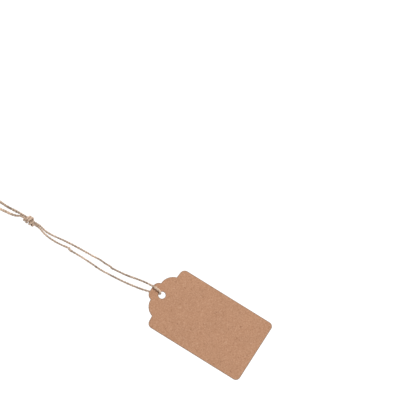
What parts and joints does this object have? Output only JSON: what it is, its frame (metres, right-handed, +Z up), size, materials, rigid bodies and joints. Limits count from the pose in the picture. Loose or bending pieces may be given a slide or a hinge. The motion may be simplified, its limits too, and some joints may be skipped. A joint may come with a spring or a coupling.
{
  "type": "gift tag",
  "caption": "Blank kraft card gift tag with a scalloped head and punched hole, hung on a knotted loop of jute twine.",
  "frame": {"origin": "on the floor below the middle of the card, which lies face up with its head resting on its own twine", "axes": "+Y along the card from its tail edge to its scalloped head, +X across the card, +Z up out of its front face"},
  "size_m": [0.05, 0.2225, 0.0064],
  "materials": {
    "kraft_card": "matte",
    "jute_twine": "matte"
  },
  "bodies": {
    "card": {"tag_card": "kraft_card"},
    "bight": {"twine_bight": "jute_twine", "twine_front_bend": "jute_twine", "twine_back_bend": "jute_twine"},
    "loop": {"twine_front_strand": "jute_twine", "twine_back_strand": "jute_twine", "twine_knot": "jute_twine", "twine_lower_tail": "jute_twine", "twine_upper_tail": "jute_twine"}
  },
  "joints": [
    {"name": "swivel", "type": "hinge", "parent": "card", "child": "bight", "pos_m": [0, 0.0358, 0.0016], "axis": [0, -0.017, 0.9999], "range_deg": [-70, 70]},
    {"name": "lift", "type": "hinge", "parent": "bight", "child": "loop", "pos_m": [-0.0026, 0.0577, 0.0017], "axis": [1, 0, 0], "range_deg": [-90, 90], "deforming": ["twine_front_bend", "twine_back_bend"]}
  ]
}
